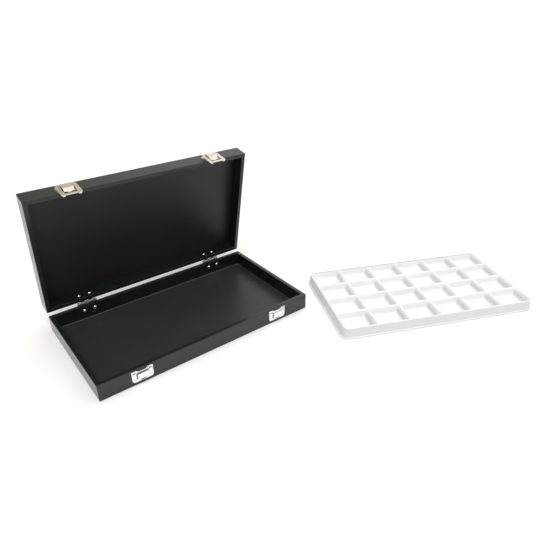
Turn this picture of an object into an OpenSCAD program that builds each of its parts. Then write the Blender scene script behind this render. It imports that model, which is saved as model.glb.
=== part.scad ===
// Watercolour pan set: a shallow hinged case with two snap latches, and a
// loose moulded tray whose wells hold the paints. Millimetres, +Z up.
// Origin: middle of the case's underside. +X runs along the case, +Y to its hinges.
// The lid is drawn closed and then turned open about the hinge pins.

/* [Case] */
// Width of the case, outside
case_w = 375; // [320:1:420]
// Depth of the case, outside, front to back
case_d = 210; // [180:1:240]
// Height of the lower half
base_h = 27.5; // [25:0.5:34]
// Height of the upper half
lid_h = 26.2; // [24:0.1:30]
// Thickness of a finished wall, rail and covering together
wall = 7; // [6:0.5:9]
// How far the lid stands open, from closed
lid_open = 79; // [0:1:170]

/* [Coverings and panels] */
// Thickness of the black covering glued round the rails
skin = 0.5; // [0.3:0.1:0.8]
// Thickness of the hardboard panels
panel_t = 2.6; // [2:0.1:3.2]
// Thickness of the smooth lining sheets
lining_t = 0.8; // [0.5:0.1:1.2]
// Gap all round a lining sheet
lining_gap = 0.5; // [0.2:0.1:1]

/* [Hinges] */
// Distance from the case's middle to each hinge's middle
hinge_x = 122.5; // [90:0.5:150]
// Length of a hinge along its pin
hinge_l = 32; // [26:1:40]
// Outer radius of the knuckles
knuckle_r = 2.6; // [2.2:0.1:3]
// Radius of the hinge pin
pin_r = 1.3; // [1:0.05:1.4]
// Distance of the pin behind the rear face
pin_back = 3.4; // [3.2:0.1:4.2]
// Height of a leaf's lower or upper edge from the pin
leaf_reach = 14.5; // [12:0.5:18]
// Height of the rivets from the pin
rivet_reach = 9.2; // [8:0.1:11]
// Spacing of the two rivets in a leaf
rivet_pitch = 18; // [14:1:22]

/* [Latches] */
// Distance from the case's middle to each latch's middle
latch_x = 122; // [90:0.5:150]
// Width of the catch plate on the lower half
catch_w = 33; // [30:0.5:36]
// Height of the catch plate
catch_h = 20; // [19:0.5:21]
// Width of the swinging hasp
hasp_w = 31; // [30:0.5:33]
// Height of the hasp's pivot above the case's underside, lid closed
hasp_pivot_z = 43; // [42.5:0.1:43.5]
// Distance of the hasp's pivot in front of the front face
hasp_pivot_out = 3.9; // [3.8:0.1:4.1]

/* [Tray] */
// Length of the tray over its flange
tray_w = 358.8; // [300:0.1:359.5]
// Depth of the tray over its flange
tray_d = 193.7; // [160:0.1:194.5]
// Height of the tray
tray_h = 17.5; // [15:0.5:20]
// Wells along the tray
wells_x = 6; // [3:1:6]
// Wells across the tray
wells_y = 4; // [2:1:4]
// Depth of a well
well_h = 11.5; // [8:0.5:13]
// Turn of the tray on the table, seen from above
tray_turn = -24; // [-40:1:0]
// Place of the tray's middle along the case's length
tray_x = 375; // [375:1:480]
// Place of the tray's middle, front to back
tray_y = -198; // [-260:1:-150]

/* [Hidden] */
$fn = 48;

board = "peru";
black = [0.12, 0.13, 0.13];
plated = "whitesmoke";
warm = "tan";

eps = 0.01;
free = 0.05;            // radial clearance of a pin in its hole
snug = 0.03;            // radial clearance of a rivet or nail in its hole
seam_gap = 0.3;         // between the two halves when closed
left_side = -1;
right_side = 1;

lid_z0 = base_h + seam_gap;
lid_z1 = lid_z0 + lid_h;
front_y = -case_d / 2;
rear_y = case_d / 2;
inner_w = case_w - 2 * wall;
inner_d = case_d - 2 * wall;
rail_w = case_w - 2 * skin;
rail_d = case_d - 2 * skin;
rail_t = wall - 2 * skin;
cover_in = 1;           // between the bottom cover's edge and the rails' faces

pin_y = rear_y + pin_back;
pin_z = base_h + seam_gap / 2;
leaf_t = 0.8;
knuckles = 5;
knuckle_gap = 0.25;
knuckle_l = (hinge_l - (knuckles - 1) * knuckle_gap) / knuckles;

rivet_r = 1.25;
rivet_head_r = 2.7;
rivet_head_h = 1.5;
rivet_tail_r = 2.0;
rivet_tail_h = 0.7;

nail_r = 0.8;
nail_l = 5;
nail_head_r = 1.9;
nail_head_h = 0.7;

// Heights on the catch are from its own lower edge
catch_z0 = 5;
catch_t = 0.9;
catch_low_r = 4.5;
catch_top_r = 1.2;
catch_nail_x = 12.6;
catch_nail_z = catch_z0 + 4.6;
notch_h = 2.4;
notch_slope = 1.5;
window_z0 = 2.6;
window_h = 13.2;
window_gap = 0.6;
nose_w = 17;
nose_out = 3.0;
nose_in = 2.6;
nose_bent = 2.2;
nose_t = 0.9;
nose_z = [3.6, 4.6, 14.0, 15.6, 17.5];   // foot, flat from, flat to, bend, root
ledge_out = 2.9;
ledge_x0 = 9.7;
ledge_x1 = 15.1;
ledge_z = [11.6, 15.4, 18.8];            // underside, flat to, top

plate_w = 32;
plate_t = 0.8;
plate_r = 2.5;
plate_z0 = lid_z0 + 1.2;
plate_nail_x = 12.5;
plate_nail_z = plate_z0 + 8;
roll_w = 16.6;
roll_r = 2.05;
rod_r = 1.2;
tongue_w = 15;
tongue_bend = 2.2;      // heights above the plate's lower edge
tongue_tip = -3.4;
tongue_lift = 1;        // how far the tip's back stands in front of the plate's face
tongue_t = 0.9;
tab_w = 6;
tab_h = 1.6;

hasp_t = 1.0;
hasp_z0 = 14.6;
hasp_bar = 4.6;
hasp_arm = 6;
hasp_low_r = 2;
hasp_top_r = 5;
hasp_over = 2.2;        // how far the arms go past the pivot
rod_in = 1;             // how far the rod goes into each arm
lip_in = 2.0;
lip_t = 1.1;
lip_x1 = hasp_w / 2 - 2;
pivot_y = front_y - hasp_pivot_out;

sheet = 0.8;            // thickness of the tray's moulded sheet
flange = 2.2;
skirt_run = 2.0;
rim_w = tray_w - 2 * (flange + skirt_run);
rim_d = tray_d - 2 * (flange + skirt_run);
rim_land = 3.2;
rim_r = 9;
land_x = 4.0;
land_y = 5.0;
run_x = 6.0;
run_y = 3.4;
well_r = 1.6;
pitch_x = (rim_w - 2 * rim_land + land_x) / wells_x;
pitch_y = (rim_d - 2 * rim_land + land_y) / wells_y;
well_w = pitch_x - land_x;
well_d = pitch_y - land_y;
corner_fn = 16;

// ---- shared shapes ----

module block(x0, x1, y0, y1, z0, z1) {
    translate([x0, y0, z0]) cube([x1 - x0, y1 - y0, z1 - z0]);
}

module slab(w, d, z0, z1) {
    block(-w / 2, w / 2, -d / 2, d / 2, z0, z1);
}

module rod_x(r, x0, x1, y, z) {
    translate([x0, y, z]) rotate([0, 90, 0]) cylinder(r = r, h = x1 - x0);
}

module rod_y(r, y0, y1, x, z) {
    translate([x, y0, z]) rotate([-90, 0, 0]) cylinder(r = r, h = y1 - y0);
}

// A profile in the Y-Z plane, pushed along X
module along_x(x0, x1, outline) {
    translate([x0, 0, 0]) rotate([90, 0, 90]) linear_extrude(height = x1 - x0) polygon(outline);
}

// A flat shape in the X-Z plane, from y0 forward by t
module sheet_xz(y0, t) {
    translate([0, y0, 0]) rotate([90, 0, 0]) linear_extrude(height = t) children();
}

module rounded(w, h, r) {
    hull() for (sx = [-1, 1], sy = [-1, 1])
        translate([sx * (w / 2 - r), sy * (h / 2 - r)]) circle(r = r, $fn = corner_fn);
}

// The lid's parts are drawn closed and turned open here
module opened() {
    translate([0, pin_y, pin_z]) rotate([-lid_open, 0, 0]) translate([0, -pin_y, -pin_z]) children();
}

// ---- rails, coverings and panels ----

module front_rail(z0, z1) {
    block(-rail_w / 2, rail_w / 2, -rail_d / 2, -rail_d / 2 + rail_t, z0, z1);
}

module rear_rail(z0, z1) {
    block(-rail_w / 2, rail_w / 2, rail_d / 2 - rail_t, rail_d / 2, z0, z1);
}

module side_rail(side, z0, z1) {
    x = rail_w / 2;
    translate([side * (x - rail_t / 2), 0, 0])
        slab(rail_t, rail_d - 2 * rail_t, z0, z1);
}

// The room that the four rails take inside the covering
module rail_ring(z0, z1) {
    difference() {
        slab(rail_w, rail_d, z0, z1);
        slab(rail_w - 2 * rail_t, rail_d - 2 * rail_t, z0 - 1, z1 + 1);
    }
}

module hinge_rivet_holes(z) {
    for (side = [-1, 1], k = [-0.5, 0.5])
        rod_y(rivet_r + snug, rear_y - wall - 1, rear_y + 1, side * hinge_x + k * rivet_pitch, z);
}

module base_front_rail() {
    color(board) difference() {
        front_rail(skin, base_h - skin);
        nail_holes(catch_nail_x, catch_nail_z);
    }
}

module base_rear_rail() {
    color(board) difference() {
        rear_rail(skin, base_h - skin);
        hinge_rivet_holes(pin_z - rivet_reach);
    }
}

module base_left_rail() {
    color(board) side_rail(left_side, skin, base_h - skin);
}

module base_right_rail() {
    color(board) side_rail(right_side, skin, base_h - skin);
}

module base_bottom_panel() {
    color("sienna") slab(inner_w, inner_d, skin, skin + panel_t);
}

module base_bottom_cover() {
    color(black) slab(rail_w - 2 * cover_in, rail_d - 2 * cover_in, 0, skin);
}

module base_covering() {
    color(black) difference() {
        slab(case_w, case_d, 0, base_h);
        slab(inner_w, inner_d, -1, base_h + 1);
        rail_ring(-1, base_h - skin);
        slab(rail_w - 2 * cover_in, rail_d - 2 * cover_in, -1, skin);
        hinge_rivet_holes(pin_z - rivet_reach);
        nail_holes(catch_nail_x, catch_nail_z);
    }
}

module base_floor_lining() {
    color([0.17, 0.19, 0.19])
        slab(inner_w - 2 * lining_gap, inner_d - 2 * lining_gap,
             skin + panel_t, skin + panel_t + lining_t);
}

module lid_front_rail() {
    color(board) opened() difference() {
        front_rail(lid_z0 + skin, lid_z1 - skin);
        nail_holes(plate_nail_x, plate_nail_z);
    }
}

module lid_rear_rail() {
    color(board) opened() difference() {
        rear_rail(lid_z0 + skin, lid_z1 - skin);
        hinge_rivet_holes(pin_z + rivet_reach);
    }
}

module lid_left_rail() {
    color(board) opened() side_rail(left_side, lid_z0 + skin, lid_z1 - skin);
}

module lid_right_rail() {
    color(board) opened() side_rail(right_side, lid_z0 + skin, lid_z1 - skin);
}

module lid_top_panel() {
    color("sienna") opened()
        slab(inner_w, inner_d, lid_z1 - skin - panel_t, lid_z1 - skin);
}

module lid_covering() {
    color(black) opened() difference() {
        slab(case_w, case_d, lid_z0, lid_z1);
        slab(inner_w, inner_d, lid_z0 - 1, lid_z1 - skin);
        rail_ring(lid_z0 + skin, lid_z1 - skin);
        hinge_rivet_holes(pin_z + rivet_reach);
        nail_holes(plate_nail_x, plate_nail_z);
    }
}

module lid_lining() {
    color([0.15, 0.14, 0.15]) opened()
        slab(inner_w - 2 * lining_gap, inner_d - 2 * lining_gap,
             lid_z1 - skin - panel_t - lining_t, lid_z1 - skin - panel_t);
}

// ---- hinges ----

// Knuckles first, first + 2, ... of the barrel
module knuckle_tubes(first, r) {
    step = knuckle_l + knuckle_gap;
    for (k = [first : 2 : knuckles - 1])
        rod_x(r, -hinge_l / 2 + k * step, -hinge_l / 2 + k * step + knuckle_l, pin_y, pin_z);
}

// One leaf: up is 1 for the lid's leaf and -1 for the base's
module hinge_leaf(side, up, first) {
    step = knuckle_l + knuckle_gap;
    z_roll = pin_z + up * knuckle_r;
    z_edge = pin_z + up * leaf_reach;
    translate([side * hinge_x, 0, 0]) difference() {
        union() {
            knuckle_tubes(first, knuckle_r);
            for (k = [first : 2 : knuckles - 1])
                block(-hinge_l / 2 + k * step, -hinge_l / 2 + k * step + knuckle_l,
                      rear_y, pin_y,
                      min(z_roll, z_roll - up * leaf_t), max(z_roll, z_roll - up * leaf_t));
            block(-hinge_l / 2, hinge_l / 2, rear_y, rear_y + leaf_t,
                  min(z_roll, z_edge), max(z_roll, z_edge));
            for (k = [first : 2 : knuckles - 1])
                block(-hinge_l / 2 + k * step, -hinge_l / 2 + k * step + knuckle_l,
                      rear_y, rear_y + leaf_t,
                      min(z_roll, z_roll - up * leaf_t), max(z_roll, z_roll - up * leaf_t));
        }
        rod_x(pin_r + free, -hinge_l, hinge_l, pin_y, pin_z);
        for (k = [-0.5, 0.5])
            rod_y(rivet_r + snug, rear_y - 1, rear_y + 2, k * rivet_pitch, pin_z + up * rivet_reach);
    }
}

module left_hinge_base_leaf() {
    color("gainsboro") hinge_leaf(left_side, -1, 0);
}

module right_hinge_base_leaf() {
    color("gainsboro") hinge_leaf(right_side, -1, 0);
}

module left_hinge_lid_leaf() {
    color("gainsboro") opened() hinge_leaf(left_side, 1, 1);
}

module right_hinge_lid_leaf() {
    color("gainsboro") opened() hinge_leaf(right_side, 1, 1);
}

// A plain pin with a low peened head at each end
module hinge_pin(side) {
    head_r = pin_r + 0.5;
    head_t = 0.6;
    end = hinge_l / 2 + 0.1;
    translate([side * hinge_x, 0, 0]) {
        rod_x(pin_r, -end - head_t, end + head_t, pin_y, pin_z);
        rod_x(head_r, -end - head_t, -end, pin_y, pin_z);
        rod_x(head_r, end, end + head_t, pin_y, pin_z);
    }
}

module left_hinge_pin() {
    color("silver") hinge_pin(left_side);
}

module right_hinge_pin() {
    color("silver") hinge_pin(right_side);
}

// A low dome on a straight edge, its flat side at z = 0
module dome(r, h) {
    ball_r = (r * r + h * h) / (2 * h);
    difference() {
        translate([0, 0, h - ball_r]) sphere(r = ball_r);
        translate([0, 0, -ball_r]) cube([4 * ball_r, 4 * ball_r, 2 * ball_r], center = true);
    }
}

// A rivet through the rear wall: dome inside, flat tail outside on the leaf
module hinge_rivet(x, z) {
    inside = rear_y - wall;
    outside = rear_y + leaf_t;
    translate([x, inside, z]) rotate([90, 0, 0]) dome(rivet_head_r, rivet_head_h);
    rod_y(rivet_r, inside - eps, outside + eps, x, z);
    rod_y(rivet_tail_r, outside, outside + rivet_tail_h, x, z);
}

module hinge_rivets(z) {
    for (side = [-1, 1], k = [-0.5, 0.5])
        hinge_rivet(side * hinge_x + k * rivet_pitch, z);
}

module base_hinge_rivets() {
    color(plated) hinge_rivets(pin_z - rivet_reach);
}

module lid_hinge_rivets() {
    color(plated) opened() hinge_rivets(pin_z + rivet_reach);
}

// ---- catches on the lower half ----

module nail_holes(dx, z) {
    for (side = [-1, 1], k = [-1, 1])
        rod_y(nail_r + snug, front_y - 2, front_y + nail_l, side * latch_x + k * dx, z);
}

// Headed nails that hold a plate of thickness t on the front face
module nails(dx, z, t) {
    for (side = [-1, 1], k = [-1, 1]) {
        x = side * latch_x + k * dx;
        rod_y(nail_r, front_y - t - eps, front_y + nail_l - 0.2, x, z);
        translate([x, front_y - t, z]) rotate([90, 0, 0]) dome(nail_head_r, nail_head_h);
    }
}

// An upright plate with one radius below and another above
module plate_outline(w, z0, z1, low_r, top_r) {
    hull() for (k = [-1, 1]) {
        translate([k * (w / 2 - low_r), z0 + low_r]) circle(r = low_r);
        translate([k * (w / 2 - top_r), z1 - top_r]) circle(r = top_r);
    }
}

module catch_outline() {
    half = nose_w / 2;
    past = 1;
    difference() {
        plate_outline(catch_w, 0, catch_h, catch_low_r, catch_top_r);
        polygon([[-half - notch_slope, catch_h + past], [-half, catch_h - notch_h],
                 [half, catch_h - notch_h], [half + notch_slope, catch_h + past]]);
        translate([-half - window_gap, window_z0])
            square([nose_w + 2 * window_gap, window_h]);
    }
}

// A plate with a raised nose that springs clear of its window, and a ledge
// on each side of it that the hasp's lips hook under
module catch(side) {
    face = front_y - catch_t;
    root = 0.2;             // how far the ledges go into the plate
    z = catch_z0;
    translate([side * latch_x, 0, 0]) {
        difference() {
            sheet_xz(front_y, catch_t) translate([0, z]) catch_outline();
            for (k = [-1, 1])
                rod_y(nail_r + snug, front_y - 2, front_y + 1, k * catch_nail_x, catch_nail_z);
        }
        along_x(-nose_w / 2, nose_w / 2, [
            [front_y, z + nose_z[4]], [face, z + nose_z[4]],
            [front_y - nose_bent, z + nose_z[3]], [front_y - nose_out, z + nose_z[2]],
            [front_y - nose_out, z + nose_z[1]], [front_y - nose_in, z + nose_z[0]],
            [front_y - nose_in + nose_t, z + nose_z[0]],
            [front_y - nose_out + nose_t, z + nose_z[1]],
            [front_y - nose_out + nose_t, z + nose_z[2] - nose_t / 2],
            [face, z + nose_z[3] - nose_t / 2], [front_y, z + window_z0 + window_h]
        ]);
        for (k = [-1, 1]) {
            x0 = min(k * ledge_x0, k * ledge_x1);
            along_x(x0, x0 + ledge_x1 - ledge_x0, [
                [face + root, z + ledge_z[2]], [face, z + ledge_z[2]],
                [front_y - ledge_out, z + ledge_z[1]], [front_y - ledge_out, z + ledge_z[0]],
                [face, z + ledge_z[0]], [face + root, z + ledge_z[0]]
            ]);
        }
    }
}

module left_catch() {
    color(plated) catch(left_side);
}

module right_catch() {
    color(plated) catch(right_side);
}

module catch_pins() {
    color(plated) nails(catch_nail_x, catch_nail_z, catch_t);
}

// ---- latches on the upper half ----

// A plate whose top is rolled round the hasp's rod and comes down through the hasp
// as a strap, whose bent tongue ends above the catch
module latch_plate(side) {
    face = front_y - plate_t;
    pz = hasp_pivot_z;
    strap_t = roll_r - rod_r - free;
    top = pz + roll_r;
    out = pivot_y - roll_r;
    bend_z = plate_z0 + tongue_bend;
    tip_z = plate_z0 + tongue_tip;
    back = face - tongue_lift;
    translate([side * latch_x, 0, 0]) difference() {
        union() {
            sheet_xz(front_y, plate_t) plate_outline(plate_w, plate_z0, top, plate_r, plate_r);
            rod_x(roll_r, -roll_w / 2, roll_w / 2, pivot_y, pz);
            block(-roll_w / 2, roll_w / 2, pivot_y, front_y, top - strap_t, top);
            block(-roll_w / 2, roll_w / 2, out, out + strap_t, bend_z, pz);
            along_x(-tongue_w / 2, tongue_w / 2, [
                [out, bend_z], [out + strap_t, bend_z],
                [back, tip_z], [back - tongue_t, tip_z]
            ]);
            along_x(-tab_w / 2, tab_w / 2, [
                [back, tip_z], [back - tongue_t, tip_z],
                [back - tongue_t / 2, tip_z - tab_h], [back, tip_z - tab_h]
            ]);
        }
        rod_x(rod_r + free, -roll_w, roll_w, pivot_y, pz);
        for (k = [-1, 1])
            rod_y(nail_r + snug, front_y - 2, front_y + 1, k * plate_nail_x, plate_nail_z);
    }
}

module left_latch_plate() {
    color(warm) opened() latch_plate(left_side);
}

module right_latch_plate() {
    color(warm) opened() latch_plate(right_side);
}

module latch_plate_pins() {
    color(plated) opened() nails(plate_nail_x, plate_nail_z, plate_t);
}

module hasp_outline() {
    top = hasp_pivot_z + hasp_over;
    difference() {
        plate_outline(hasp_w, hasp_z0, top, hasp_low_r, hasp_top_r);
        translate([-hasp_w / 2 + hasp_arm, hasp_z0 + hasp_bar])
            square([hasp_w - 2 * hasp_arm, top - hasp_z0]);
    }
}

// A flat frame hung on a rod across its top, with a lip turned in at each lower corner
module hasp(side) {
    back = pivot_y + hasp_t / 2;
    translate([side * latch_x, 0, 0]) {
        sheet_xz(back, hasp_t) hasp_outline();
        rod_end = hasp_w / 2 - hasp_arm + rod_in;
        rod_x(rod_r, -rod_end, rod_end, pivot_y, hasp_pivot_z);
        for (k = [-1, 1]) {
            x0 = min(k * ledge_x0, k * lip_x1);
            block(x0, x0 + lip_x1 - ledge_x0, back - eps, back + lip_in,
                  hasp_z0, hasp_z0 + lip_t);
        }
    }
}

module left_hasp() {
    color(warm) opened() hasp(left_side);
}

module right_hasp() {
    color(warm) opened() hasp(right_side);
}

// ---- tray ----

// A four-sided cup or hollow that narrows towards its bottom
module taper(w0, d0, z0, w1, d1, z1, r) {
    hull() {
        translate([0, 0, z0]) linear_extrude(height = eps) rounded(w0, d0, r);
        translate([0, 0, z1 - eps]) linear_extrude(height = eps) rounded(w1, d1, r);
    }
}

module each_well() {
    for (i = [0 : wells_x - 1], j = [0 : wells_y - 1])
        translate([(i - (wells_x - 1) / 2) * pitch_x, (j - (wells_y - 1) / 2) * pitch_y, 0])
            children();
}

module well_hollow() {
    low = tray_h - well_h;
    taper(well_w - 2 * run_x, well_d - 2 * run_y, low, well_w, well_d, tray_h, well_r);
    translate([0, 0, tray_h - eps]) linear_extrude(height = 1) rounded(well_w, well_d, well_r);
}

module well_cup() {
    low = tray_h - well_h - sheet;
    grow = 2 * sheet;
    taper(well_w - 2 * run_x + grow, well_d - 2 * run_y + grow, low,
          well_w + grow, well_d + grow, tray_h, well_r + sheet / 2);
}

module tray() {
    skirt_w = rim_w + 2 * skirt_run;
    skirt_d = rim_d + 2 * skirt_run;
    inset = 2 * sheet;
    color("white") translate([tray_x, tray_y, 0]) rotate([0, 0, tray_turn])
    difference() {
        union() {
            difference() {
                union() {
                    taper(skirt_w, skirt_d, 0, rim_w, rim_d, tray_h, rim_r);
                    linear_extrude(height = sheet) rounded(tray_w, tray_d, rim_r + flange);
                }
                taper(skirt_w - inset, skirt_d - inset, -1,
                      rim_w - inset, rim_d - inset, tray_h - sheet, rim_r - sheet);
            }
            intersection() {
                each_well() well_cup();
                taper(skirt_w, skirt_d, 0, rim_w, rim_d, tray_h, rim_r);
            }
        }
        each_well() well_hollow();
    }
}

base_front_rail();
base_rear_rail();
base_left_rail();
base_right_rail();
base_bottom_panel();
base_bottom_cover();
base_covering();
base_floor_lining();
lid_front_rail();
lid_rear_rail();
lid_left_rail();
lid_right_rail();
lid_top_panel();
lid_covering();
lid_lining();
left_hinge_base_leaf();
right_hinge_base_leaf();
left_hinge_lid_leaf();
right_hinge_lid_leaf();
left_hinge_pin();
right_hinge_pin();
base_hinge_rivets();
lid_hinge_rivets();
left_catch();
right_catch();
catch_pins();
left_latch_plate();
right_latch_plate();
latch_plate_pins();
left_hasp();
right_hasp();
tray();
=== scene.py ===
import math

import bpy
import numpy as np
from mathutils import Matrix, Vector

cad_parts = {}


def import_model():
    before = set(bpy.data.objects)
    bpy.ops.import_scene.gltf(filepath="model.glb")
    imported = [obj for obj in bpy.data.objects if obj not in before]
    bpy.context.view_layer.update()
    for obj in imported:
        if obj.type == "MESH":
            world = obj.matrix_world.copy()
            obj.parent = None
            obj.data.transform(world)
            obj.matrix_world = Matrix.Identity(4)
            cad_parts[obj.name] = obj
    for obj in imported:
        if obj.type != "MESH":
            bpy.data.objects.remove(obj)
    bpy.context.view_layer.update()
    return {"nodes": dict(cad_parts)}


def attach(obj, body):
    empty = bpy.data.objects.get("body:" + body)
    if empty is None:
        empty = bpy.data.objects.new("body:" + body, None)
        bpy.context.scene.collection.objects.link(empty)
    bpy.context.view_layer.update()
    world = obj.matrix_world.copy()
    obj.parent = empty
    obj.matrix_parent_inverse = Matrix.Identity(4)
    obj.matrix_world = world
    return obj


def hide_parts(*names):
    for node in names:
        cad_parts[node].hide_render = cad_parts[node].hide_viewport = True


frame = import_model()

MM = 0.001

# ---- sizes of the case and its parts, in millimetres, as the CAD parts have them ----

CASE_W = 375.0
CASE_D = 210.0
BASE_H = 27.5
LID_Z0 = 27.8
LID_Z1 = 54.0
WALL = 7.0
SKIN = 0.5
PANEL_T = 2.6
LINING_T = 0.8
LINING_GAP = 0.5
LID_OPEN = 79.0
PIN_Y = 108.4
PIN_Z = 27.65
FRONT_Y = -CASE_D / 2
LATCH_X = 122.0
PIVOT_Y = -108.9
PIVOT_Z = 43.0

# Lid pieces are modelled closed and turned to the pose the CAD parts have
opened = (
    Matrix.Translation((0, PIN_Y * MM, PIN_Z * MM))
    @ Matrix.Rotation(math.radians(-LID_OPEN), 4, "X")
    @ Matrix.Translation((0, -PIN_Y * MM, -PIN_Z * MM))
)


# ---- materials ----

def mix_colours(tree, factor, a, b):
    """A mix of two colours, each a tuple or another node's output."""
    made = tree.nodes.new("ShaderNodeMix")
    made.data_type = "RGBA"
    tree.links.new(factor, made.inputs["Factor"])
    for socket, value in ((made.inputs[6], a), (made.inputs[7], b)):
        if isinstance(value, tuple):
            socket.default_value = (*value, 1.0)
        else:
            tree.links.new(value, socket)
    return made.outputs[2]


class Paint:
    """A procedural material. Points come from the object's own coordinates, in metres."""

    def __init__(self, name, **constants):
        self.material = bpy.data.materials.new(name)
        self.material.use_nodes = True
        self.tree = self.material.node_tree
        self.shader = self.tree.nodes["Principled BSDF"]
        self.coords = self.tree.nodes.new("ShaderNodeTexCoord").outputs["Object"]
        for socket, value in constants.items():
            self.shader.inputs[socket.replace("_", " ")].default_value = value

    def node(self, kind, links=(), **values):
        made = self.tree.nodes.new("ShaderNode" + kind)
        for key, value in values.items():
            if key in made.inputs:
                made.inputs[key].default_value = value
            else:
                setattr(made, key, value)
        for socket, source in dict(links).items():
            self.tree.links.new(source, made.inputs[socket])
        return made

    def stretched(self, x, y, z):
        return self.node("Mapping", {"Vector": self.coords}, Scale=(x, y, z)).outputs[0]

    def noise(self, scale, detail=3.0, rough=0.55, vector=None):
        made = self.node(
            "TexNoise", {"Vector": vector or self.coords},
            Scale=scale, Detail=detail, Roughness=rough,
        )
        return made.outputs["Fac"]

    def cells(self, scale, feature="F1", random=1.0):
        made = self.node(
            "TexVoronoi", {"Vector": self.coords},
            feature=feature, Scale=scale, Randomness=random,
        )
        return made.outputs["Distance"]

    def ramp(self, source, low, high, to_low=0.0, to_high=1.0):
        made = self.node("MapRange", {"Value": source})
        ends = {"From Min": low, "From Max": high, "To Min": to_low, "To Max": to_high}
        for socket, value in ends.items():
            made.inputs[socket].default_value = value
        return made.outputs["Result"]

    def mix(self, factor, a, b):
        return mix_colours(self.tree, factor, a, b)

    def maths(self, operation, a, b):
        made = self.node("Math", operation=operation)
        self.tree.links.new(a, made.inputs[0])
        self.tree.links.new(b, made.inputs[1])
        return made.outputs[0]

    def attribute(self, name):
        return self.node("Attribute", attribute_name=name).outputs["Fac"]

    def bump(self, height, distance, strength, after=None):
        made = self.node("Bump", {"Height": height}, Strength=strength, Distance=distance)
        if after is not None:
            self.tree.links.new(after, made.inputs["Normal"])
        return made.outputs["Normal"]

    def finish(self, colour, roughness=None, normal=None):
        for socket, source in (("Base Color", colour), ("Roughness", roughness), ("Normal", normal)):
            if source is not None:
                self.tree.links.new(source, self.shader.inputs[socket])
        return self.material


def leatherette():
    """Fine pebble-grained black vinyl, greyer where its edges are rubbed."""
    paint = Paint(
        "leatherette", IOR=1.5, Specular_IOR_Level=0.32, Specular_Tint=(0.86, 1.0, 0.92, 1.0),
        Coat_Weight=0.55, Coat_Roughness=0.15, Coat_IOR=1.5,
    )
    tone = paint.ramp(paint.noise(14, 4.0), 0.3, 0.7)
    base = paint.mix(tone, (0.0050, 0.0062, 0.0058), (0.0095, 0.0112, 0.0104))
    pebbles = paint.cells(1500, "DISTANCE_TO_EDGE")
    valley = paint.ramp(pebbles, 0.0, 0.12)
    grained = paint.mix(valley, (0.0030, 0.0036, 0.0034), base)
    worn = paint.ramp(paint.noise(260, 3.0), 0.42, 0.75)
    rub = paint.maths("MULTIPLY", paint.attribute("wear"), worn)
    colour = paint.mix(rub, grained, (0.060, 0.063, 0.060))
    smear = paint.ramp(paint.noise(32, 4.0, 0.6), 0.3, 0.7, 0.30, 0.42)
    scratches = paint.noise(90, 3.0, 0.5, paint.stretched(1.0, 9.0, 5.0))
    scuff = paint.ramp(scratches, 0.62, 0.75, 0.0, 0.10)
    roughness = paint.maths("ADD", smear, scuff)
    waves = paint.bump(paint.noise(45, 2.0), 0.00035, 0.5)
    grain = paint.bump(paint.ramp(pebbles, 0.0, 0.30), 0.00003, 0.75, waves)
    pores = paint.bump(paint.noise(5200, 2.0), 0.00001, 0.6, grain)
    return paint.finish(colour, roughness, pores)


def lining(name, dark, light, low, high):
    """A smooth coated sheet with a faint calendered texture, flecks, and a paler cut edge that also
    carries a painted highlight.
    """
    paint = Paint(name, IOR=1.5)
    cloud = paint.ramp(paint.noise(9, 4.0, 0.55), 0.3, 0.7)
    streaks = paint.noise(60, 3.0, 0.5, paint.stretched(0.5, 5.0, 5.0))
    base = paint.mix(cloud, dark, light)
    fleck = paint.ramp(paint.noise(3000, 2.0), 0.66, 0.78)
    flecked = paint.mix(fleck, base, tuple(1.9 * c for c in light))
    # Pale edge colour: the cut edge's paler core, plus a painted highlight along the upper edge,
    # strongest at the rear.
    colour = paint.mix(paint.attribute("cut"), flecked, (0.40, 0.43, 0.42))
    roughness = paint.ramp(streaks, 0.3, 0.7, low, high)
    ripple = paint.bump(paint.noise(22, 2.0), 0.0005, 0.35)
    fine = paint.bump(paint.noise(2600, 3.0), 0.000012, 0.7, ripple)
    return paint.finish(colour, roughness, fine)


def nickel(name, dull, bright, low, high):
    """Plated pressed steel with hairline polishing marks, faint clouding and fine pits."""
    paint = Paint(name, Metallic=1.0)
    cloud = paint.ramp(paint.noise(170, 3.0), 0.32, 0.68)
    base = paint.mix(cloud, dull, bright)
    pits = paint.ramp(paint.noise(1900, 2.0), 0.68, 0.80)
    colour = paint.mix(pits, base, tuple(0.62 * c for c in dull))
    hairs = paint.noise(900, 3.0, 0.6, paint.stretched(0.15, 3.0, 3.0))
    roughness = paint.ramp(hairs, 0.3, 0.7, low, high)
    dents = paint.bump(paint.noise(190, 2.0), 0.00012, 0.35)
    scratched = paint.bump(hairs, 0.000006, 0.6, dents)
    return paint.finish(colour, roughness, scratched)


def moulded_plastic():
    """White polystyrene sheet, satin, greyer on the wells' sides and round the skirt: partly thinner
    drawn plastic, partly painted shade, most on the sides facing along X.
    """
    paint = Paint(
        "tray_plastic", IOR=1.49, Subsurface_Weight=0.12, Subsurface_Scale=0.002,
        Subsurface_Radius=(1.0, 1.0, 1.0),
    )
    cloud = paint.ramp(paint.noise(26, 4.0), 0.3, 0.7)
    base = paint.mix(cloud, (0.83, 0.84, 0.84), (0.88, 0.885, 0.88))
    # Painted shade, with the thinner drawn plastic: the wells' sides and the skirt greyed.
    thin_and_shade = paint.mix(paint.attribute("stretch"), base, (0.56, 0.57, 0.575))
    dust = paint.ramp(paint.noise(1500, 2.0), 0.70, 0.80)
    colour = paint.mix(dust, thin_and_shade, (0.70, 0.70, 0.69))
    roughness = paint.ramp(paint.noise(120, 3.0), 0.3, 0.7, 0.30, 0.44)
    wavy = paint.bump(paint.noise(60, 2.0), 0.0004, 0.3)
    orange_peel = paint.bump(paint.noise(1300, 2.0), 0.000012, 0.6, wavy)
    return paint.finish(colour, roughness, orange_peel)


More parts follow.
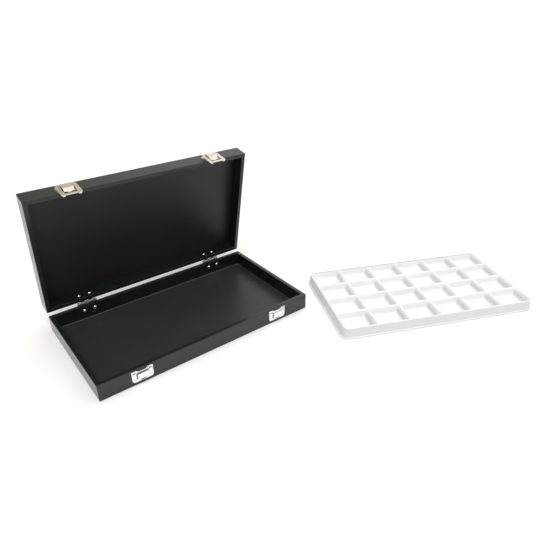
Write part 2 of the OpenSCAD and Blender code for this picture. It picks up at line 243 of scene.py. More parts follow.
def fibreboard():
    """Raw sawn board of the rails, fibres along X."""
    paint = Paint("fibreboard")
    fibres = paint.noise(700, 5.0, 0.7, paint.stretched(1.0, 2.5, 6.0))
    tone = paint.ramp(fibres, 0.3, 0.7)
    colour = paint.mix(tone, (0.23, 0.135, 0.07), (0.42, 0.28, 0.16))
    roughness = paint.ramp(paint.noise(200), 0.3, 0.7, 0.75, 0.95)
    return paint.finish(colour, roughness, paint.bump(fibres, 0.0001, 0.5))


def hardboard():
    """Brown pressed board of the panels, with a screen's weave."""
    paint = Paint("hardboard")
    weave = paint.cells(420, random=0.4)
    tone = paint.ramp(paint.noise(500, 4.0), 0.3, 0.7)
    colour = paint.mix(tone, (0.075, 0.038, 0.018), (0.16, 0.09, 0.045))
    roughness = paint.ramp(paint.noise(90), 0.3, 0.7, 0.55, 0.8)
    return paint.finish(colour, roughness, paint.bump(weave, 0.0002, 0.6))


SLOTS = {
    "leatherette": leatherette(),
    "floor_lining": lining(
        "floor_lining", (0.0165, 0.0195, 0.0190), (0.0215, 0.0250, 0.0242), 0.32, 0.44),
    "lid_lining": lining(
        "lid_lining", (0.0092, 0.0076, 0.0094), (0.0140, 0.0118, 0.0140), 0.36, 0.48),
    "bright_nickel": nickel(
        "bright_nickel", (0.91, 0.905, 0.865), (0.96, 0.955, 0.92), 0.12, 0.22),
    "warm_nickel": nickel("warm_nickel", (0.76, 0.685, 0.59), (0.88, 0.80, 0.70), 0.14, 0.26),
    # Hinge steel: a darker steel, darkened further as painted shade for the dark reflections of the
    # black covers round the barrel.
    "hinge_steel": nickel("hinge_steel", (0.38, 0.38, 0.375), (0.52, 0.52, 0.51), 0.18, 0.30),
    "tray_plastic": moulded_plastic(),
    "fibreboard": fibreboard(),
    "hardboard": hardboard(),
}


# ---- mesh helpers: points are in millimetres until make() ----

def make(name, points, faces, slot, body, stands_for, place=None, **attributes):
    mesh = bpy.data.meshes.new(name)
    mesh.from_pydata([tuple(MM * c for c in p) for p in points], [], faces)
    mesh.validate()
    mesh.shade_smooth()
    for key, values in attributes.items():
        layer = mesh.attributes.new(key, "FLOAT", "POINT")
        layer.data.foreach_set("value", np.asarray(values, np.float32))
    mesh.materials.append(SLOTS[slot])
    piece = bpy.data.objects.new(name, mesh)
    bpy.context.scene.collection.objects.link(piece)
    if place is not None:
        piece.matrix_world = place
    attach(piece, body)
    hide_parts(*stands_for)
    return piece


def modifier(piece, kind, **settings):
    made = piece.modifiers.new(kind.lower(), kind)
    for key, value in settings.items():
        setattr(made, key, value)


def soften(piece, width, segments, angle):
    """Rounds a piece's sharp edges and evens its shading."""
    modifier(
        piece, "BEVEL", width=width * MM, segments=segments, limit_method="ANGLE",
        angle_limit=math.radians(angle), use_clamp_overlap=True,
    )
    modifier(piece, "WEIGHTED_NORMAL", keep_sharp=False)


def shifted(x):
    return Matrix.Translation((x * MM, 0, 0))


def smooth_step(t):
    t = np.clip(t, 0.0, 1.0)
    return t * t * (3 - 2 * t)


def arc_points(cx, cz, r, a0, a1, n):
    """Points of an arc in a section, angles in degrees."""
    return [
        (cx + r * math.cos(math.radians(a)), cz + r * math.sin(math.radians(a)))
        for a in np.linspace(a0, a1, n)
    ]


def mirrored(right):
    """A whole outline from its right half, anticlockwise from the bottom."""
    return right + [(-x, z) for x, z in reversed(right)]


def loft_faces(rings, count, closed=False):
    """Quads between rings of count points. Closed joins the last ring to the first, else both
    ends are capped."""
    faces = []
    for k in range(rings if closed else rings - 1):
        a, b = k * count, (k + 1) % rings * count
        for i in range(count):
            j = (i + 1) % count
            faces.append((a + i, a + j, b + j, b + i))
    if not closed:
        faces.append(tuple(range(count))[::-1])
        faces.append(tuple(range((rings - 1) * count, rings * count)))
    return faces


def grid_faces(rows, cols):
    """The quads of a grid of points, each with its row and column."""
    for i in range(rows - 1):
        for j in range(cols - 1):
            a = i * cols + j
            yield i, j, (a, a + 1, a + cols + 1, a + cols)


def joined(*parts):
    points, faces = [], []
    for part_points, part_faces in parts:
        start = len(points)
        points += list(part_points)
        faces += [tuple(start + i for i in f) for f in part_faces]
    return points, faces


# ---- the coverings of the two halves ----

CORNER_SIGNS = ((1, 1), (-1, 1), (-1, -1), (1, -1))
CORNER_R = 1.5
LEAST_R = 0.45
SIDE_STEP = 14.0
SIDE_ENDS = 6.0
CORNER_WEAR_REACH = 16.0
WEAR_ON_FLATS = 0.30


def ring_outline(w, d, r, arc=5):
    """A rounded rectangle about the origin: points, and how near each is to a corner.

    The case's size alone sets how many points a side has, so rings of any inset match.
    """
    points, corner = [], []
    for k in range(4):
        (sx, sy), (next_x, next_y) = CORNER_SIGNS[k], CORNER_SIGNS[(k + 1) % 4]
        for i in range(arc + 1):
            a = (k + i / arc) * math.pi / 2
            points.append((
                sx * (w / 2 - r) + r * math.cos(a),
                sy * (d / 2 - r) + r * math.sin(a),
            ))
            corner.append(1.0)
        start = np.array(points[-1])
        stop = np.array((
            next_x * (w / 2 - r) + r * math.cos(a),
            next_y * (d / 2 - r) + r * math.sin(a),
        ))
        length = (CASE_D if k % 2 else CASE_W) - SIDE_ENDS
        count = int(length / SIDE_STEP)
        for i in range(1, count):
            t = i / count
            points.append(tuple(start + t * (stop - start)))
            corner.append(math.exp(-min(t, 1 - t) * length / CORNER_WEAR_REACH))
    return points, corner


def wrapped(name, section, wear, body, stands_for, place=None, closed=True):
    """A covering carried round the case. Its section is (distance in from the outside, height)."""
    points, rub = [], []
    for (inset, z), w in zip(section, wear):
        r = max(CORNER_R - inset, LEAST_R)
        outline, corner = ring_outline(CASE_W - 2 * inset, CASE_D - 2 * inset, r)
        points += [(x, y, z) for x, y in outline]
        rub += [w * (WEAR_ON_FLATS + (1 - WEAR_ON_FLATS) * c) for c in corner]
    faces = loft_faces(len(section), len(outline), closed)
    piece = make(name, points, faces, "leatherette", body, stands_for, place, wear=rub)
    modifier(piece, "WEIGHTED_NORMAL", keep_sharp=False)


def edge_wear(section, edges):
    """How rubbed each point of a section is. Each edge is (inset, height, strength)."""
    values = []
    for inset, z in section:
        near = max(s * math.exp(-((inset - x) ** 2 + (z - h) ** 2) / 0.55) for x, h, s in edges)
        values.append(near if near > 0.12 else 0.0)
    return values


EDGE_R = 0.85
INNER_R = 0.6
FOOT_R = 0.6
TURN_IN = 1.42
TOP_IN = 9.0

base_section = (
    [(TURN_IN, SKIN), (TURN_IN, 0.0), (1.2, 0.0)]
    + arc_points(FOOT_R, FOOT_R, FOOT_R, 270, 180, 5)
    + [(0.0, 1.1), (0.0, 2.5), (0.0, BASE_H - 2.5), (0.0, BASE_H - EDGE_R - 0.4)]
    + arc_points(EDGE_R, BASE_H - EDGE_R, EDGE_R, 180, 90, 6)
    + [(EDGE_R + 0.4, BASE_H), (WALL - INNER_R - 0.4, BASE_H)]
    + arc_points(WALL - INNER_R, BASE_H - INNER_R, INNER_R, 90, 0, 5)
    + [(WALL, BASE_H - INNER_R - 0.4), (WALL, BASE_H - 3.0), (WALL, 3.0), (WALL, 0.6)]
    + [(WALL - SKIN, 0.6), (WALL - SKIN, BASE_H - SKIN - 0.05)]
    + [(SKIN, BASE_H - SKIN - 0.05), (SKIN, SKIN)]
)
base_wear = edge_wear(
    base_section,
    [(0.25, 0.25, 0.9), (0.25, BASE_H - 0.25, 1.0), (WALL - 0.2, BASE_H - 0.2, 0.7)],
)
wrapped("base_wrap", base_section, base_wear, "case_base", ["base_covering"])

lid_section = (
    [(TOP_IN, LID_Z1), (2.5, LID_Z1), (EDGE_R + 0.4, LID_Z1)]
    + arc_points(EDGE_R, LID_Z1 - EDGE_R, EDGE_R, 90, 180, 6)
    + [(0.0, LID_Z1 - EDGE_R - 0.4), (0.0, LID_Z1 - 3.0), (0.0, LID_Z0 + 3.0)]
    + [(0.0, LID_Z0 + EDGE_R + 0.4)]
    + arc_points(EDGE_R, LID_Z0 + EDGE_R, EDGE_R, 180, 270, 6)
    + [(EDGE_R + 0.4, LID_Z0), (WALL - INNER_R - 0.4, LID_Z0)]
    + arc_points(WALL - INNER_R, LID_Z0 + INNER_R, INNER_R, 270, 360, 5)
    + [(WALL, LID_Z0 + INNER_R + 0.4), (WALL, LID_Z0 + 3.0), (WALL, LID_Z1 - 3.2)]
    + [(WALL, LID_Z1 - SKIN - 0.02), (WALL - SKIN, LID_Z1 - SKIN - 0.02)]
    + [(WALL - SKIN, LID_Z0 + SKIN + 0.05), (SKIN, LID_Z0 + SKIN + 0.05)]
    + [(SKIN, LID_Z1 - SKIN), (TOP_IN, LID_Z1 - SKIN)]
)
lid_wear = edge_wear(
    lid_section,
    [(0.25, LID_Z1 - 0.25, 1.0), (0.25, LID_Z0 + 0.25, 0.9), (WALL - 0.2, LID_Z0 + 0.2, 0.7)],
)
wrapped("lid_wrap", lid_section, lid_wear, "lid", ["lid_covering"], opened, closed=False)


# ---- linings and the cover underneath ----

COVER_INSET = 1.6
# The rear band gets the full pale edge and painted highlight, the other sides only a share of it.
HIGHLIT_REAR_BAND = 4.0
CUT_AND_HIGHLIGHT_OFF_REAR = 0.25


def sheet(name, w, d, z0, z1, r, slot, body, stands_for, place=None):
    """A thin sheet with eased edges. Its cut side shows a paler core, and a painted highlight runs
    along its upper rounded edge onto the top, strongest at the rear.
    """
    lip = min(0.25, (z1 - z0) / 3)
    # Each level's last number is how much pale edge colour it gets: the paler core low down, a
    # painted highlight on the upper edge.
    levels = [
        (3.0, z0, 0), (lip, z0, 0), (0.3 * lip, z0 + 0.3 * lip, 1), (0.0, z0 + lip, 1),
        (0.0, z1 - lip, 1), (0.3 * lip, z1 - 0.3 * lip, 0.9), (lip, z1, 0.6),
        (3 * lip, z1, 0.35), (6 * lip, z1, 0), (9.0, z1, 0),
    ]
    points, cut = [], []
    for inset, z, pale_core_and_highlight in levels:
        outline, _ = ring_outline(w - 2 * inset, d - 2 * inset, max(r - inset, 0.4), arc=4)
        points += [(x, y, z) for x, y in outline]
        cut += [pale_core_and_highlight * (1.0 if y > d / 2 - HIGHLIT_REAR_BAND else CUT_AND_HIGHLIGHT_OFF_REAR) for _, y in outline]
    faces = loft_faces(len(levels), len(outline))
    piece = make(name, points, faces, slot, body, stands_for, place, cut=cut)
    modifier(piece, "WEIGHTED_NORMAL", keep_sharp=False)


lining_w = CASE_W - 2 * WALL - 2 * LINING_GAP
lining_d = CASE_D - 2 * WALL - 2 * LINING_GAP
floor_z = SKIN + PANEL_T
sheet("floor_lining_sheet", lining_w, lining_d, floor_z, floor_z + LINING_T, 1.0,
      "floor_lining", "case_base", ["base_floor_lining"])
ceiling_z = LID_Z1 - SKIN - PANEL_T
sheet("lid_lining_sheet", lining_w, lining_d, ceiling_z - LINING_T, ceiling_z, 1.0,
      "lid_lining", "lid", ["lid_lining"], opened)
sheet("bottom_cover_sheet", CASE_W - 2 * COVER_INSET, CASE_D - 2 * COVER_INSET, 0.0, SKIN, 1.2,
      "leatherette", "case_base", ["base_bottom_cover"])


# ---- pressed metal ----

def strip(path, widths, thickness, x_mid=0.0, arc=3):
    """A metal strip that follows a path of (y, z) points, width along X, with rounded edges."""
    path = np.array(path, float)
    ahead = np.gradient(path, axis=0)
    ahead /= np.linalg.norm(ahead, axis=1)[:, None]
    normal = np.stack([-ahead[:, 1], ahead[:, 0]], axis=1)
    r = 0.42 * thickness
    points = []
    for p, n, w in zip(path, normal, widths):
        for k, (sx, st) in enumerate(CORNER_SIGNS):
            for i in range(arc + 1):
                a = (k + i / arc) * math.pi / 2
                x = x_mid + sx * (w / 2 - r) + r * math.cos(a)
                across = st * (thickness / 2 - r) + r * math.sin(a)
                points.append((x, p[0] + n[0] * across, p[1] + n[1] * across))
    return points, loft_faces(len(path), 4 * (arc + 1))


def rod(r, x0, x1, y, z, sides=28, ease=0.25):
    """A rod along X with eased ends."""
    stations = [(x0, r - ease), (x0 + ease, r), (x1 - ease, r), (x1, r - ease)]
    points = []
    for x, radius in stations:
        for i in range(sides):
            a = 2 * math.pi * i / sides
            points.append((x, y + radius * math.cos(a), z + radius * math.sin(a)))
    return points, loft_faces(len(stations), sides)


def extruded(outline, y0, y1):
    """A flat outline of (x, z) points given thickness from y0 to y1."""
    n = len(outline)
    points = [(x, y0, z) for x, z in outline] + [(x, y1, z) for x, z in outline]
    faces = [tuple(range(n)), tuple(range(n, 2 * n))[::-1]]
    faces += [(i, n + i, n + (i + 1) % n, (i + 1) % n) for i in range(n)]
    return points, faces


# The hasp's frame, its rod and its two turned-in lips

HASP_HALF = 15.5
HASP_Z0 = 14.6
HASP_TOP = 45.2
HASP_T = 1.0
HASP_LOW_R = 2.0
HASP_TOP_R = 5.0
ARM = 6.0
BAR = 4.6
OPENING_R = 1.2
ARM_END_R = 1.0
ROD_R = 1.2
ROD_IN_ARM = 0.8
LIP_MID = 11.6
LIP_W = 3.8
LIP_T = 0.96
LIP_BEND_R = 0.75


def hasp_outline():
    inner_x = HASP_HALF - ARM
    inner_z = HASP_Z0 + BAR
    right = arc_points(HASP_HALF - HASP_LOW_R, HASP_Z0 + HASP_LOW_R, HASP_LOW_R, -90, 0, 7)
    right += arc_points(HASP_HALF - HASP_TOP_R, HASP_TOP - HASP_TOP_R, HASP_TOP_R, 0, 90, 9)
    right += arc_points(inner_x + ARM_END_R, HASP_TOP - ARM_END_R, ARM_END_R, 90, 180, 4)
    right += arc_points(inner_x - OPENING_R, inner_z + OPENING_R, OPENING_R, 0, -90, 5)
    return mirrored(right)


def hasp(side, name, node, body):
    plate = extruded(hasp_outline(), PIVOT_Y - HASP_T / 2, PIVOT_Y + HASP_T / 2)
    rod_end = HASP_HALF - ARM + ROD_IN_ARM
    bend_z = HASP_Z0 + HASP_T / 2
    lip_path = [(PIVOT_Y, HASP_Z0 + 2.6)]
    lip_path += arc_points(PIVOT_Y + LIP_BEND_R, bend_z + LIP_BEND_R, LIP_BEND_R, 180, 270, 6)
    lip_path += [(PIVOT_Y + 1.6, bend_z), (PIVOT_Y + 2.4, bend_z)]
    lips = [strip(lip_path, [LIP_W] * len(lip_path), LIP_T, k * LIP_MID) for k in (-1, 1)]
    points, faces = joined(plate, rod(ROD_R, -rod_end, rod_end, PIVOT_Y, PIVOT_Z), *lips)
    piece = make(name, points, faces, "warm_nickel", body, [node], opened @ shifted(side * LATCH_X))
    soften(piece, 0.32, 3, 40)


# The latch's plate, and the strap that comes over the rod and down through the hasp

PLATE_HALF = 16.0
PLATE_T = 0.8
PLATE_Z0 = 29.0
PLATE_R = 2.5
PLATE_RISE = 0.35
ROLL_MID = 1.65
STRAP_W = 16.6
STRAP_T = 0.78
STRAP_Y = -110.56
TURN_R = 1.1

# The strap's lower end as (y, z, width): its bend, the tongue and the narrow tab
STRAP_END = [
    (-110.46, 31.45, 16.4), (-110.26, 30.95, 15.8), (-109.7, 29.8, 15.2),
    (-108.8, 28.1, 15.0), (-107.9, 26.4, 15.0), (-107.62, 25.85, 14.4),
    (-107.5, 25.6, 6.8), (-107.3, 25.0, 6.2), (-107.15, 24.2, 5.4),
]


def latch_plate(side, name, node):
    top = PIVOT_Z + ROLL_MID
    right = arc_points(PLATE_HALF - PLATE_R, PLATE_Z0 + PLATE_R, PLATE_R, -90, 0, 7)
    right += arc_points(PLATE_HALF - PLATE_R, top + PLATE_RISE - PLATE_R, PLATE_R, 0, 90, 7)
    plate = extruded(mirrored(right), FRONT_Y - PLATE_T, FRONT_Y - 0.02)
    path = [(FRONT_Y - 0.5, PLATE_Z0 + 11), (FRONT_Y - 0.5, top - 1.2)]
    path += arc_points(FRONT_Y - 0.5 - TURN_R, top - TURN_R, TURN_R, 0, 90, 6)
    path += arc_points(PIVOT_Y, PIVOT_Z, ROLL_MID, 90, 184, 11)
    path += [(STRAP_Y, 41.0), (STRAP_Y, 37.0), (STRAP_Y, 33.0), (STRAP_Y + 0.02, 32.0)]
    widths = [STRAP_W] * len(path) + [w for _, _, w in STRAP_END]
    path += [(y, z) for y, z, _ in STRAP_END]
    points, faces = joined(plate, strip(path, widths, STRAP_T))
    piece = make(name, points, faces, "warm_nickel", "lid", [node], opened @ shifted(side * LATCH_X))
    soften(piece, 0.16, 2, 50)


# The catch: one pressed sheet with a raised pad and a ledge on each side of it

CATCH_Z0 = 5.0
CATCH_HALF = 16.5
CATCH_H = 20.0
CATCH_T = 0.9
CATCH_SHEET = 0.75
CATCH_LOW_R = 5.0
CATCH_TOP_R = 1.2
TRIM_FROM = 9.0
NOTCH_FROM = 15.6
NOTCH_DEPTH = 2.3
PAD_HALF = 8.4
PAD_LIFT = 2.05
PAD_CROWN = 0.12
SLIT = 0.65
SLIT_FOOT = 3.95
LOW_SLIT_HALF = 5.3
LOW_SLIT = (1.5, 4.7)
LEDGE = (9.45, 14.6)
LEDGE_FOOT = 11.35
LEDGE_LIFT = 1.4

# Grid lines, closer together where the sheet bends: half the width, then the height
CATCH_HALF_LINES = np.array([
    0.0, 2.2, 4.4, 6.2, 7.4, 8.0, PAD_HALF, PAD_HALF + SLIT, LEDGE[0], 9.85, 10.3, 11.4, 12.6,
    13.8, LEDGE[1], 15.0, 15.45, 15.9, 16.2, CATCH_HALF,
])
CATCH_LINES = np.array([
    0.0, 0.35, 0.8, LOW_SLIT[0], 2.4, 3.3, SLIT_FOOT, LOW_SLIT[1], 5.3, 6.2, 7.6, 9.2, 10.6,
    LEDGE_FOOT, 11.7, 12.1, 12.9, 13.7, 14.3, 14.9, NOTCH_FROM, 16.3, 17.0, 17.6, 18.2, 18.8,
    19.3, 19.7, CATCH_H,
])


def corner_trim(r, height):
    """How far a rounded corner draws the side in, at a height from the corner's end."""
    return r - math.sqrt(max(r**2 - max(r - height, 0) ** 2, 0))


def catch_place(u, v):
    """Where a point of the catch's grid lies, with rounded corners and a notch in the top."""
    x, z = u, v
    if v > NOTCH_FROM:
        notch = NOTCH_DEPTH * (1 - smooth_step((abs(u) - 6.2) / 3.2))
        z = NOTCH_FROM + (v - NOTCH_FROM) * (1 - notch / (CATCH_H - NOTCH_FROM))
    if abs(u) > TRIM_FROM:
        trim = corner_trim(CATCH_LOW_R, v) + corner_trim(CATCH_TOP_R, CATCH_H - v)
        share = (abs(u) - TRIM_FROM) / (CATCH_HALF - TRIM_FROM)
        x = math.copysign(abs(u) - trim * share, u)
    return x, z


def catch_relief(u, v):
    """How far the catch's face stands out there: its eased border, its pad and its ledges."""
    border = min(CATCH_HALF - abs(u), v, CATCH_H - v)
    out = CATCH_T - 0.28 * (1 - smooth_step(border / 0.8))
    if abs(u) <= PAD_HALF:
        rise = smooth_step((17.4 - v) / 4.4) * smooth_step((v - 3.2) / 1.6)
        out += rise * (PAD_LIFT + PAD_CROWN * (1 - (u / PAD_HALF) ** 2))
    step = smooth_step((abs(u) - LEDGE[0]) / 0.75) * smooth_step((LEDGE[1] + 0.8 - abs(u)) / 0.8)
    slope = smooth_step((18.6 - v) / 3.2) * smooth_step((v - LEDGE_FOOT) / 0.35)
    return out + step * slope * LEDGE_LIFT


def in_slit(x, z):
    """Whether a quad of the catch is cut away: beside the pad, or below it."""
    beside = PAD_HALF < x < PAD_HALF + SLIT and SLIT_FOOT < z < NOTCH_FROM
    return beside or (x < LOW_SLIT_HALF and LOW_SLIT[0] < z < LOW_SLIT[1])


def catch(side, name, node):
    xs = np.concatenate([-CATCH_HALF_LINES[:0:-1], CATCH_HALF_LINES])
    zs = CATCH_LINES
    points = []
    for v in zs:
        for u in xs:
            x, z = catch_place(u, v)
            points.append((x, FRONT_Y - catch_relief(u, v), CATCH_Z0 + z))
    faces = [
        face for i, j, face in grid_faces(len(zs), len(xs))
        if not in_slit(abs(xs[j] + xs[j + 1]) / 2, (zs[i] + zs[i + 1]) / 2)
    ]
    piece = make(name, points, faces, "bright_nickel", "case_base", [node], shifted(side * LATCH_X))
    modifier(piece, "SOLIDIFY", thickness=CATCH_SHEET * MM, offset=-1.0)
    modifier(piece, "WEIGHTED_NORMAL", keep_sharp=False)


for side, word in ((-1, "left"), (1, "right")):
    hasp(side, word + "_hasp_frame", word + "_hasp", "hasp_" + word)
    latch_plate(side, word + "_latch_strap", word + "_latch_plate")
    catch(side, word + "_catch_pressing", word + "_catch")


# ---- the moulded tray ----

TRAY_H = 17.5
SHEET = 0.8
TRAY_SHEET = 0.62
RIM_W = 350.4
RIM_D = 185.3
RIM_R = 9.0
WELLS_X = 6
WELLS_Y = 4
PITCH_X = 58.0
PITCH_Y = 45.975
WELL_W = 54.0
WELL_D = 40.975
RUN_X = 6.0
RUN_Y = 3.4
WELL_DEPTH = 11.5
WELL_SAG = 0.25
FLANGE = 2.2
SKIRT_RUN = 2.0
TRAY_X = 375.0
TRAY_Y = -198.0
TRAY_TURN = -24.0

# From the top's edge to the flange's edge: (growth beyond the rim's outline, height)
RIM_LEVELS = (
    [(-1.15, TRAY_H), (-0.75, TRAY_H), (-0.38, TRAY_H - 0.12), (-0.12, TRAY_H - 0.45)]
    + [(0.03, TRAY_H - 0.95)]
    + [
        ((TRAY_H - h) / TRAY_H * SKIRT_RUN - 0.06, h)
        for h in np.linspace(TRAY_H - 1.4, SHEET + 0.9, 5)
    ]
    + [(SKIRT_RUN + 0.02, SHEET + 0.42), (SKIRT_RUN + 0.22, SHEET + 0.12)]
    + [(SKIRT_RUN + 0.6, SHEET), (SKIRT_RUN + FLANGE - 0.35, SHEET)]
    + [(SKIRT_RUN + FLANGE - 0.1, SHEET - 0.1), (SKIRT_RUN + FLANGE, SHEET - 0.3)]
)


def ramp_profile(t, smooth=0.12):
    """How deep a well's side is at a share t of its run: filleted at its top and its foot."""
    a = smooth * np.logaddexp(0, t / smooth)
    b = smooth * np.logaddexp(0, (t - 1) / smooth)
    return np.clip(a - b, 0.0, 1.0)


def smooth_min(a, b, k=0.10):
    h = np.clip(0.5 + 0.5 * (b - a) / k, 0, 1)
    return b * (1 - h) + a * h - k * h * (1 - h)


def grid_lines(pitch, count, well, run):
    """Places of the mesh's lines along one side of the tray, closer together on the slopes."""
    shares = np.array([
        -0.30, -0.14, 0.0, 0.12, 0.26, 0.42, 0.58, 0.74, 0.88, 1.0, 1.14, 1.34, 1.75,
    ])
    lines = []
    for k in range(count):
        middle = (k - (count - 1) / 2) * pitch
        edge = middle - well / 2
        inner = edge + shares[-1] * run
        lines += list(edge + shares * run)
        lines += list(np.linspace(inner, 2 * middle - inner, 7)[1:-1])
        lines += list(2 * middle - edge - shares[::-1] * run)
    return np.array(lines)


def from_middle(places, pitch, count):
    """How far each place is from the middle of the nearest well."""
    well = np.clip(np.round(places / pitch - 0.5), -count // 2, count // 2 - 1)
    return np.abs(places - (well + 0.5) * pitch)


def tray_top():
    """The wells and the flat between them: a grid's x, y and z, and how much grey each point gets
    for its thinning and for painted shade.
    """
    xs = grid_lines(PITCH_X, WELLS_X, WELL_W, RUN_X)
    ys = grid_lines(PITCH_Y, WELLS_Y, WELL_D, RUN_Y)
    gx, gy = np.meshgrid(xs, ys)
    side_share = (WELL_W / 2 - from_middle(gx, PITCH_X, WELLS_X)) / RUN_X
    end_share = (WELL_D / 2 - from_middle(gy, PITCH_Y, WELLS_Y)) / RUN_Y
    share = smooth_min(side_share, end_share)
    deep = ramp_profile(share)
    z = TRAY_H - WELL_DEPTH * deep - WELL_SAG * np.clip(share - 1.0, 0, 4) / 4
    on_side = np.exp(-((deep - 0.6) / 0.3) ** 2)
    # Sides facing along X get most of the grey: painted shade on the walls turned from the light.
    sideways_shade = np.clip(0.5 + 1.5 * (end_share - side_share), 0.15, 1.0)
    return gx, gy, z, 0.75 * on_side * sideways_shade


def rim_ring(border, grow):
    """The top's border, as shares of its half sides, carried out to the rounded rim."""
    w, d, r = RIM_W / 2 + grow, RIM_D / 2 + grow, RIM_R + grow
    ring = []
    for x, y in border:
        on_long_side = abs(abs(y) - 1) < 1e-9
        reach, other = (w, d) if on_long_side else (d, w)
        along = abs(x if on_long_side else y) * reach
        past = along - (reach - r)
        across = other
        if past > 0:
            turn = past / r * math.pi / 4
            along = reach - r + r * math.sin(turn)
            across = other - r + r * math.cos(turn)
        px, py = (along, across) if on_long_side else (across, along)
        ring.append((math.copysign(px, x), math.copysign(py, y)))
    return ring


def tray():
    gx, gy, gz, thin_and_shade = tray_top()
    rows, cols = gx.shape
    points = list(zip(gx.ravel(), gy.ravel(), gz.ravel()))
    stretch = list(thin_and_shade.ravel())
    faces = [face for _, _, face in grid_faces(rows, cols)]
    last = list(range(cols))
    last += [i * cols + cols - 1 for i in range(1, rows)]
    last += [(rows - 1) * cols + j for j in range(cols - 2, -1, -1)]
    last += [i * cols for i in range(rows - 2, 0, -1)]
    border = [(points[i][0] / gx.max(), points[i][1] / gy.max()) for i in last]
    count = len(border)
    for grow, height in RIM_LEVELS:
        ring = list(range(len(points), len(points) + count))
        points += [(x, y, height) for x, y in rim_ring(border, grow)]
        # The skirt is greyed too: painted shade, with its thinner drawn plastic.
        stretch += [0.5 if SHEET + 0.5 < height < TRAY_H - 0.8 else 0.0] * count
        for i in range(count):
            j = (i + 1) % count
            faces.append((ring[j], ring[i], last[i], last[j]))
        last = ring
    place = (
        Matrix.Translation((TRAY_X * MM, TRAY_Y * MM, 0))
        @ Matrix.Rotation(math.radians(TRAY_TURN), 4, "Z")
    )
    piece = make(
        "tray_moulding", points, faces, "tray_plastic", "tray", ["tray"], place, stretch=stretch,
    )
    modifier(piece, "SOLIDIFY", thickness=TRAY_SHEET * MM, offset=-1.0)


tray()


# ---- the CAD parts that stay: rails, panels, hinges, rivets, nails ----

STAY = {
    "fibreboard": ["rail"],
    "hardboard": ["panel"],
    "hinge_steel": ["hinge_base_leaf", "hinge_lid_leaf", "hinge_pin"],
    "bright_nickel": ["rivets", "catch_pins", "latch_plate_pins"],
}
for name, node in frame["nodes"].items():
    for slot, endings in STAY.items():
        if any(name.endswith(e) for e in endings):
            node.data.materials.clear()
            node.data.materials.append(SLOTS[slot])
            for polygon in node.data.polygons:
                polygon.material_index = 0


# ---- floor, light and camera ----

FLOOR_REACH = 40.0
FLOOR_Z = -0.0003
HORIZON = (0.43, 0.42, 0.40)
CEILING = (1.0, 1.0, 0.985)
WARM_WALL = (0.36, 0.335, 0.27)
DARK_SIDE = (0.10, 0.10, 0.105)
TOWARD_CAMERA = (-0.35, -0.70, 0.62)
BACKDROP = (0.93, 0.93, 0.93)
WORLD_STRENGTH = 1.16
SUN_FROM = (-0.26, -0.46, 1.0)
SUN_STRENGTH = 2.2
SUN_ANGLE = 40
CAMERA_AT = Vector((-0.3077, -0.6464, 0.4921))
CAMERA_AIM = Vector((0.15751, -0.05512, 0.05453))


def floor():
    paint = Paint("studio_floor", Roughness=0.75)
    tone = paint.ramp(paint.noise(0.8), 0.3, 0.7)
    paint.finish(paint.mix(tone, (0.90, 0.90, 0.90), (0.93, 0.93, 0.93)))
    mesh = bpy.data.meshes.new("studio_floor")
    corners = [(x * FLOOR_REACH, y * FLOOR_REACH, 0) for x, y in CORNER_SIGNS]
    mesh.from_pydata(corners, [], [(0, 1, 2, 3)])
    mesh.materials.append(paint.material)
    made = bpy.data.objects.new("studio_floor", mesh)
    made.location.z = FLOOR_Z
    bpy.context.scene.collection.objects.link(made)


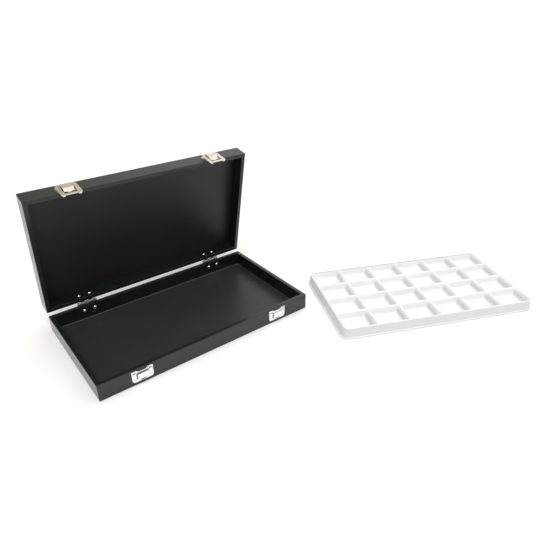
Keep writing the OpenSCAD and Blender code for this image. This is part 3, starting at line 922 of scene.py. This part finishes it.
def world():
    """A bright ceiling, a dim warm wall behind on the left, and the dark side the camera is on.

    The camera itself sees a plain backdrop.
    """
    made = bpy.data.worlds.new("studio")
    bpy.context.scene.world = made
    made.use_nodes = True
    tree = made.node_tree
    nodes, links = tree.nodes, tree.links
    coords = nodes.new("ShaderNodeTexCoord").outputs["Generated"]
    split = nodes.new("ShaderNodeSeparateXYZ")
    links.new(coords, split.inputs[0])

    def step(source, low, high):
        rise = nodes.new("ShaderNodeMapRange")
        rise.interpolation_type = "SMOOTHSTEP"
        rise.inputs["From Min"].default_value = low
        rise.inputs["From Max"].default_value = high
        links.new(source, rise.inputs["Value"])
        return rise.outputs["Result"]

    def times(a, b):
        product = nodes.new("ShaderNodeMath")
        product.operation = "MULTIPLY"
        links.new(a, product.inputs[0])
        links.new(b, product.inputs[1])
        return product.outputs[0]

    sky = mix_colours(tree, step(split.outputs["Z"], -0.1, 0.85), HORIZON, CEILING)
    wall = times(step(split.outputs["X"], 0.58, 0.04), step(split.outputs["Y"], 0.1, 0.5))
    wall = times(wall, step(split.outputs["Z"], 0.94, 0.76))
    sky = mix_colours(tree, wall, sky, WARM_WALL)
    toward = nodes.new("ShaderNodeVectorMath")
    toward.operation = "DOT_PRODUCT"
    toward.inputs[1].default_value = TOWARD_CAMERA
    links.new(coords, toward.inputs[0])
    sky = mix_colours(tree, step(toward.outputs["Value"], 0.60, 0.77), sky, DARK_SIDE)
    seen = nodes.new("ShaderNodeLightPath").outputs["Is Camera Ray"]
    sky = mix_colours(tree, seen, sky, BACKDROP)
    links.new(sky, nodes["Background"].inputs["Color"])
    nodes["Background"].inputs["Strength"].default_value = WORLD_STRENGTH


def sun():
    lamp = bpy.data.lights.new("key", "SUN")
    lamp.energy = SUN_STRENGTH
    lamp.angle = math.radians(SUN_ANGLE)
    made = bpy.data.objects.new("key", lamp)
    made.rotation_mode = "QUATERNION"
    made.rotation_quaternion = Vector(SUN_FROM).to_track_quat("Z", "Y")
    bpy.context.scene.collection.objects.link(made)


def camera():
    lens = bpy.data.cameras.new("camera")
    lens.sensor_width = 36.0
    lens.lens = 32.42
    lens.clip_start = 0.05
    lens.clip_end = 100.0
    made = bpy.data.objects.new("camera", lens)
    made.location = CAMERA_AT
    made.rotation_mode = "QUATERNION"
    made.rotation_quaternion = (CAMERA_AIM - CAMERA_AT).to_track_quat("-Z", "Y")
    bpy.context.scene.collection.objects.link(made)
    bpy.context.scene.camera = made


floor()
world()
sun()
camera()
bpy.context.scene.view_settings.view_transform = "Standard"
